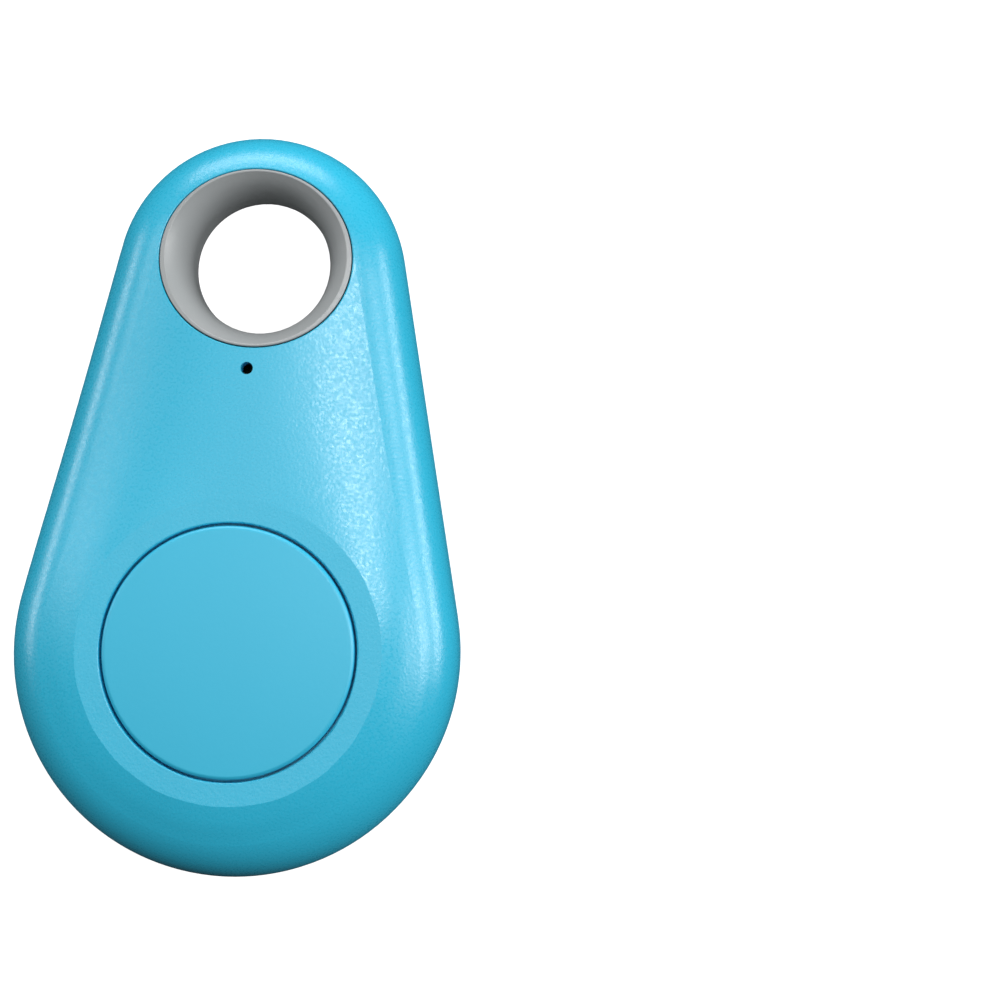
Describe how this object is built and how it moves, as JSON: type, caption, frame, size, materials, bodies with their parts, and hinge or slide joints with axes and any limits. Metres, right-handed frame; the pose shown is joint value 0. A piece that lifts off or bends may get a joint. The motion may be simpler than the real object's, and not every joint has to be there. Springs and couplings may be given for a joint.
{
  "type": "wireless tracker tag",
  "caption": "Teardrop key-finder tag: two moulded shells with a lined keyring hole, a sprung front button and a coin-slot bayonet battery cover.",
  "frame": {"origin": "under the middle of the tag's outline, level with the lowest point of its back", "axes": "+Z out of the front, where the button is; +Y along the tag towards the keyring hole; +X completes the set, to the right seen from the front with the keyring hole up"},
  "size_m": [0.0312, 0.052, 0.011],
  "materials": {
    "blue_shell": "fine spark-textured sky-blue ABS",
    "blue_button": "smooth satin sky-blue ABS",
    "blue_cover": "satin sky-blue ABS with a very fine texture",
    "grey_liner": "satin light-grey ABS",
    "cell_steel": "nickel-plated steel",
    "cell_gasket": "moulded polypropylene",
    "cell_cathode": "pressed powder pellet",
    "cell_separator": "non-woven",
    "cell_anode": "soft rolled metal",
    "contact_metal": "nickel-plated spring strip",
    "board": "green solder mask on glass epoxy",
    "chip_body": "black epoxy",
    "crystal_can": "metal lid",
    "capacitor_body": "fired ceramic with tinned ends",
    "resistor_body": "dark glaze with tinned ends",
    "led_body": "clear resin on white",
    "copper": "copper",
    "switch_body": "black nylon",
    "switch_plunger": "moulded nylon",
    "buzzer_body": "black liquid-crystal polymer",
    "magnet": "sintered ring magnet"
  },
  "bodies": {
    "housing": {"front_shell": "blue_shell", "rear_shell": "blue_shell", "keyring_liner": "grey_liner", "coin_cell_can": "cell_steel", "coin_cell_cap": "cell_steel", "coin_cell_gasket": "cell_gasket", "coin_cell_cathode": "cell_cathode", "coin_cell_separator": "cell_separator", "coin_cell_anode": "cell_anode", "positive_contact": "contact_metal", "negative_contact": "contact_metal", "circuit_board": "board", "radio_chip": "chip_body", "crystal": "crystal_can", "chip_capacitors": "capacitor_body", "chip_resistors": "resistor_body", "status_led": "led_body", "antenna_trace": "copper", "tact_switch_base": "switch_body", "tact_switch_plate": "contact_metal", "tact_switch_dome": "contact_metal", "buzzer_base": "buzzer_body", "buzzer_case": "buzzer_body", "buzzer_magnet": "magnet", "buzzer_coil": "copper", "buzzer_core": "cell_steel", "buzzer_diaphragm": "contact_metal"},
    "button": {"button": "blue_button", "tact_switch_plunger": "switch_plunger"},
    "battery_cover": {"battery_cover": "blue_cover"}
  },
  "joints": [
    {"name": "button_press", "type": "slide", "parent": "housing", "child": "button", "axis": [0, 0, -1], "range_m": [0, 0.0003], "stiffness_N_per_m": 3000, "springref_m": -0.0003, "deforming": ["tact_switch_dome"]},
    {"name": "cover_turn", "type": "hinge", "parent": "housing", "child": "battery_cover", "pos_m": [0, -0.0104, 0], "axis": [0, 0, -1], "range_deg": [0, 27]}
  ]
}
